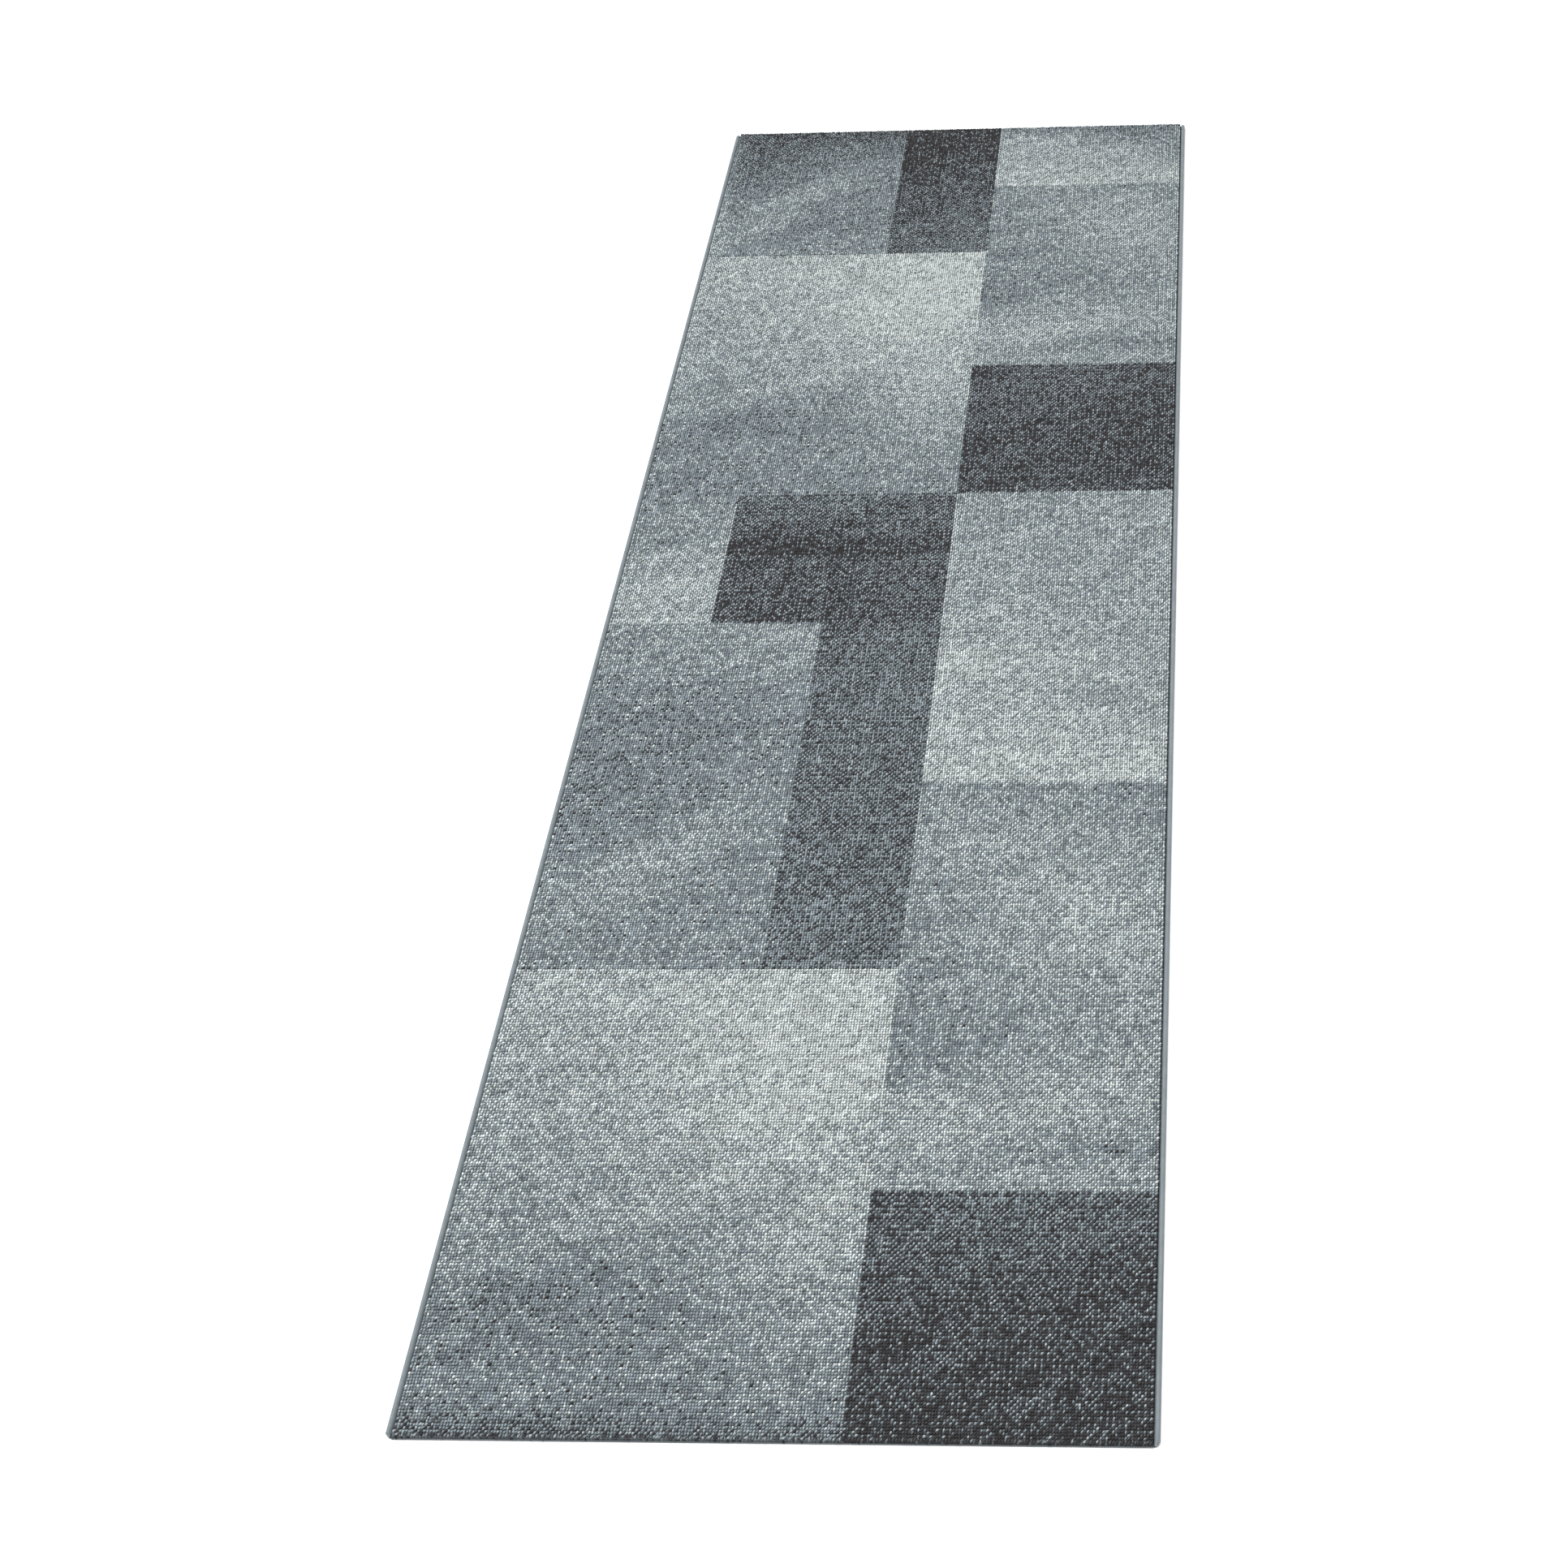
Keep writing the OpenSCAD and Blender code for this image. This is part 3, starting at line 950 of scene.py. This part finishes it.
class RUNNERRUG_OT_cords(bpy.types.Operator):
    """Twist the filler cord inside each serged side"""

    bl_idname = "runner_rug.cords"
    bl_label = "Filler cords"

    def execute(self, context):
        settings = context.scene.runner_rug_edge
        tree = built_group("Twisted Cord", build_cord_tree)
        material = yarn_material(
            "filler_cord", settings.cord, roughness=0.9, sheen=0.1, fibre_scale=900.0, contrast=0.5,
            ply_pitch=1.5 * MM,
        )
        for node in ("left_filler_cord", "right_filler_cord"):
            low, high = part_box(node)
            piece = new_object(node.replace("filler", "core"), [(0, 0, 0)])
            length = high[1] - low[1]
            grow(piece, tree, {
                "Length": length,
                "Twists": length / settings.cord_lay,
                "Ply Radius": (high[2] - low[2]) / 4,
                "Start": ((low[0] + high[0]) / 2, low[1], (low[2] + high[2]) / 2),
                "Material": material,
            })
            settle(piece, node)
        return {"FINISHED"}


# ---------------------------------------------------------------- ground cloth, coat and hems


def build_rib_tree(name):
    """A flat slab whose two faces rise and fall in ribs that run across the rug."""
    tree, entry, leave = geometry_group(name, {
        "Size": "vector", "Centre": "vector", "Ribs": "int", "Rib Height": "float",
        "Ribs Per Metre": "float", "Material": "material",
    })
    steps_per_rib = 4.0
    steps = add_math(tree, "ADD", add_math(tree, "MULTIPLY", entry["Ribs"], steps_per_rib), 1.0)
    slab = add_node(tree, "GeometryNodeMeshCube", {"Size": entry["Size"], "Vertices Y": steps})
    placed = add_node(
        tree, "GeometryNodeTransform", {"Geometry": slab.outputs["Mesh"], "Translation": entry["Centre"]}
    )
    place = tree.nodes.new("GeometryNodeInputPosition").outputs[0]
    axes = add_node(tree, "ShaderNodeSeparateXYZ", {"Vector": place}).outputs
    centre = add_node(tree, "ShaderNodeSeparateXYZ", {"Vector": entry["Centre"]}).outputs
    turns = add_math(tree, "MULTIPLY", axes["Y"], entry["Ribs Per Metre"])
    wave = add_math(tree, "COSINE", add_math(tree, "MULTIPLY", turns, 2 * math.pi))
    sunk = add_math(tree, "MULTIPLY", add_math(tree, "SUBTRACT", 1.0, wave), entry["Rib Height"])
    inward = add_math(tree, "SIGN", add_math(tree, "SUBTRACT", centre["Z"], axes["Z"]))
    offset = add_node(
        tree, "ShaderNodeCombineXYZ",
        {"Z": add_math(tree, "MULTIPLY", add_math(tree, "MULTIPLY", sunk, 0.5), inward)},
    )
    ribbed = add_node(
        tree, "GeometryNodeSetPosition", {"Geometry": placed.outputs[0], "Offset": offset.outputs[0]}
    )
    finish_geometry(tree, entry, leave, ribbed.outputs[0])
    return tree


def make_ribbed_cloth(name, node, back, rows_per_metre, material):
    low, high = (np.array(corner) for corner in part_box(node))
    piece = new_object(name, [(0, 0, 0)])
    grow(piece, built_group("Ribbed Cloth", build_rib_tree), {
        "Size": tuple(high - low),
        "Centre": tuple((high + low) / 2),
        "Ribs": round((high[1] - low[1]) * rows_per_metre),
        "Rib Height": back.rib_height,
        "Ribs Per Metre": rows_per_metre,
        "Material": material,
    })
    map_from_above(piece, lit_share=0.5)
    return settle(piece, node)


class RUNNERRUG_OT_cloth(bpy.types.Operator):
    """Weave the ground cloth and spread the latex coat under it"""

    bl_idname = "runner_rug.cloth"
    bl_label = "Ground cloth and coat"

    def execute(self, context):
        back = context.scene.runner_rug_back
        pile = context.scene.runner_rug_pile
        columns, rows = 1 / pile.column_pitch, 1 / pile.row_pitch
        ground = woven_material("ground_weave", back.warp, back.weft, columns, rows, roughness=0.9)
        coat = woven_material("latex_coat", back.latex, back.jute, columns, rows, roughness=0.55)
        make_ribbed_cloth("ground_weave", "ground_cloth", back, rows, ground)
        make_ribbed_cloth("latex_back", "back_coat", back, rows, coat)
        return {"FINISHED"}


def hem_profile(low, high, end, back):
    """Section of a turned-under band along and up: its lower side and its upper side, point by point."""
    half, fold_steps = LENGTH / 2, 6
    coat_low, coat_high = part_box("back_coat")
    band = coat_high[2] - coat_low[2]
    inner_y, fold_y = half - (high[1] - low[1]), half - band
    count = round((fold_y - inner_y) / back.hem_rib_pitch)
    under, over = [], []
    for number in range(count + 1):
        y = inner_y + (fold_y - inner_y) * number / count
        under.append((y, low[2] + back.hem_rib_height * (number % 2)))
        over.append((y, low[2] + band))
    for number in range(1, fold_steps + 1):
        angle = math.pi / 2 * number / fold_steps
        under.append((fold_y + band * math.sin(angle), low[2] + band - band * math.cos(angle)))
        over.append((fold_y, low[2] + band))
    under.append((half, high[2]))
    over.append((fold_y, high[2]))
    return [(end * y, z) for y, z in under], [(end * y, z) for y, z in over]


def make_hem(node, end, back, material):
    low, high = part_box(node)
    under, over = hem_profile(low, high, end, back)
    points, faces = [], []
    for (under_y, under_z), (over_y, over_z) in zip(under, over):
        for x in (low[0], high[0]):
            points.append((x, under_y, under_z))
            points.append((x, over_y, over_z))
    last = len(under) - 1
    for number in range(last):
        a, b = 4 * number, 4 * (number + 1)
        faces += [(a, a + 2, b + 2, b), (a + 1, b + 1, b + 3, a + 3)]
        faces += [(a, b, b + 1, a + 1), (a + 2, a + 3, b + 3, b + 2)]
    faces += [(0, 1, 3, 2), (4 * last, 4 * last + 2, 4 * last + 3, 4 * last + 1)]
    piece = new_object(node.replace("_end_hem", "_hem_band"), points, (), faces)
    close_outwards(piece.data)
    piece.data.materials.append(material)
    map_from_above(piece, lit_share=0.4)
    return settle(piece, node)


def close_outwards(mesh):
    """Merges doubled corners and turns every face outwards."""
    work = bmesh.new()
    work.from_mesh(mesh)
    bmesh.ops.remove_doubles(work, verts=work.verts, dist=0.01 * MM)
    bmesh.ops.dissolve_degenerate(work, edges=work.edges, dist=0.001 * MM)
    bmesh.ops.recalc_face_normals(work, faces=work.faces)
    work.to_mesh(mesh)
    work.free()


def build_stitch_tree(name):
    """A row of equal stitches."""
    tree, entry, leave = geometry_group(name, {
        "Count": "int", "First": "vector", "Step": "vector", "Thread Radius": "float",
        "Material": "material",
    })
    path = add_node(tree, "GeometryNodeMeshToCurve", {"Mesh": entry["Geometry"]})
    thread = add_tube(tree, path.outputs[0], entry["Thread Radius"], sides=6)
    finish_geometry(tree, entry, leave, add_row(tree, entry, thread))
    return tree


def make_stitches(node, back, material):
    low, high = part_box(node)
    radius = (high[2] - low[2]) / 2
    stitch, pitch, dip = back.stitch_length, back.stitch_pitch, back.stitch_dip
    count = round((high[0] - low[0] + pitch - stitch) / pitch)
    bend = 0.12  # where the thread comes out of the cloth, as a share of the stitch
    stations = ((0, dip), (bend, 0), (0.5, 0), (1 - bend, 0), (1, dip))
    path = [(share * stitch, 0, rise) for share, rise in stations]
    edges = [(number, number + 1) for number in range(len(path) - 1)]
    piece = new_object(node.replace("_hem_stitches", "_stitch_row"), path, edges)
    grow(piece, built_group("Stitches", build_stitch_tree), {
        "Count": count,
        "First": (low[0], (low[1] + high[1]) / 2, low[2] + radius),
        "Step": (pitch, 0.0, 0.0),
        "Thread Radius": radius,
        "Material": material,
    })
    return settle(piece, node)


class RUNNERRUG_OT_hems(bpy.types.Operator):
    """Turn the short ends under and sew them"""

    bl_idname = "runner_rug.hems"
    bl_label = "Hems"

    def execute(self, context):
        back = context.scene.runner_rug_back
        band = woven_material(
            "hem_weave", back.hem_warp, back.hem_weft, warps_per_metre=800.0,
            wefts_per_metre=1 / back.hem_rib_pitch, roughness=0.9,
        )
        thread = yarn_material(
            "sewing_thread", back.thread, roughness=0.5, sheen=0.2, fibre_scale=2500.0, contrast=0.3,
            ply_pitch=0.8 * MM,
        )
        for end_name, end in (("near", -1), ("far", 1)):
            make_hem(f"{end_name}_end_hem", end, back, band)
            make_stitches(f"{end_name}_hem_stitches", back, thread)
        return {"FINISHED"}


# ---------------------------------------------------------------- a step that does nothing, and the stage


class RUNNERRUG_OT_declare(bpy.types.Operator):
    """Does nothing: it leaves the scene as it is"""

    bl_idname = "runner_rug.declare"
    bl_label = "Declare the cloth"

    def execute(self, context):
        return {"FINISHED"}


def lay_floor(colour):
    reach, gap = 4 * LENGTH, 0.2 * MM
    corners = [(-reach, -reach, -gap), (reach, -reach, -gap), (reach, reach, -gap), (-reach, reach, -gap)]
    floor = new_object("floor", corners, (), [(0, 1, 2, 3)])
    paint, tree, shader, place = new_material("floor", roughness=0.8, sheen=0.0)
    grain = add_fibres(tree, place, scale=3.0, contrast=0.01)
    tree.links.new(tint_colour(tree, tuple(colour), grain["Tint"]), shader.inputs["Base Color"])
    floor.data.materials.append(paint)


def light_room(strength):
    world = bpy.data.worlds.new("soft room")
    world.use_nodes = True
    background = world.node_tree.nodes["Background"]
    background.inputs["Color"].default_value = (1.0, 1.0, 1.0, 1.0)
    background.inputs["Strength"].default_value = strength
    bpy.context.scene.world = world


def hang_lamp(name, kind, power, place=(0, 0, 0), turn=(0, 0, 0)):
    lamp = bpy.data.lights.new(name, kind)
    lamp.energy = power
    light = bpy.data.objects.new(name, lamp)
    light.location = place
    light.rotation_euler = turn
    bpy.context.scene.collection.objects.link(light)
    return lamp


def set_camera(settings):
    camera = bpy.data.objects.new("camera", bpy.data.cameras.new("camera"))
    camera.data.lens = settings.lens
    camera.data.shift_x = settings.shift
    camera.location = settings.place
    camera.rotation_euler = settings.aim
    bpy.context.scene.collection.objects.link(camera)
    bpy.context.scene.camera = camera


class RUNNERRUG_OT_stage(bpy.types.Operator):
    """Lay the floor and set the lights and the camera"""

    bl_idname = "runner_rug.stage"
    bl_label = "Stage"

    def execute(self, context):
        settings = context.scene.runner_rug_stage
        context.scene.view_settings.view_transform = "Standard"
        lay_floor(settings.floor)
        light_room(settings.sky)
        wide_light = hang_lamp("wide light", "SUN", settings.key, turn=(settings.tip, settings.roll, 0))
        wide_light.angle = settings.softness
        panel_height = 1.2 * LENGTH
        panel = hang_lamp("near panel", "AREA", settings.fill, place=(0.0, NEAR, panel_height))
        panel.size = LENGTH
        set_camera(settings)
        return {"FINISHED"}


class RUNNERRUG_PT_panel(bpy.types.Panel):
    """The runner rug's pieces and settings"""

    bl_label = "Runner Rug"
    bl_idname = "RUNNERRUG_PT_panel"
    bl_space_type = "VIEW_3D"
    bl_region_type = "UI"
    bl_category = "Runner Rug"

    def draw(self, context):
        for group_name, operators in PANEL_ROWS:
            box = self.layout.box()
            for operator in operators:
                box.operator(operator)
            settings = getattr(context.scene, group_name)
            for name in settings.__annotations__:
                box.prop(settings, name)


PANEL_ROWS = (
    ("runner_rug_pile", ("runner_rug.pile",)),
    ("runner_rug_edge", ("runner_rug.serging", "runner_rug.cords")),
    ("runner_rug_back", ("runner_rug.cloth", "runner_rug.hems", "runner_rug.declare")),
    ("runner_rug_stage", ("runner_rug.stage",)),
)
SETTINGS = {
    "runner_rug_pile": RunnerRugPileSettings,
    "runner_rug_edge": RunnerRugEdgeSettings,
    "runner_rug_back": RunnerRugBackSettings,
    "runner_rug_stage": RunnerRugStageSettings,
}
CLASSES = (
    *SETTINGS.values(),
    RUNNERRUG_OT_pile,
    RUNNERRUG_OT_serging,
    RUNNERRUG_OT_cords,
    RUNNERRUG_OT_cloth,
    RUNNERRUG_OT_hems,
    RUNNERRUG_OT_declare,
    RUNNERRUG_OT_stage,
    RUNNERRUG_PT_panel,
)


def register():
    for each in CLASSES:
        bpy.utils.register_class(each)
    for name, group in SETTINGS.items():
        setattr(bpy.types.Scene, name, PointerProperty(type=group))


def unregister():
    for name in SETTINGS:
        delattr(bpy.types.Scene, name)
    for each in reversed(CLASSES):
        bpy.utils.unregister_class(each)


def main():
    register()
    bpy.ops.runner_rug.pile()
    bpy.ops.runner_rug.serging()
    bpy.ops.runner_rug.cords()
    bpy.ops.runner_rug.cloth()
    bpy.ops.runner_rug.hems()
    bpy.ops.runner_rug.declare()
    bpy.ops.runner_rug.stage()


if __name__ == "__main__":
    main()
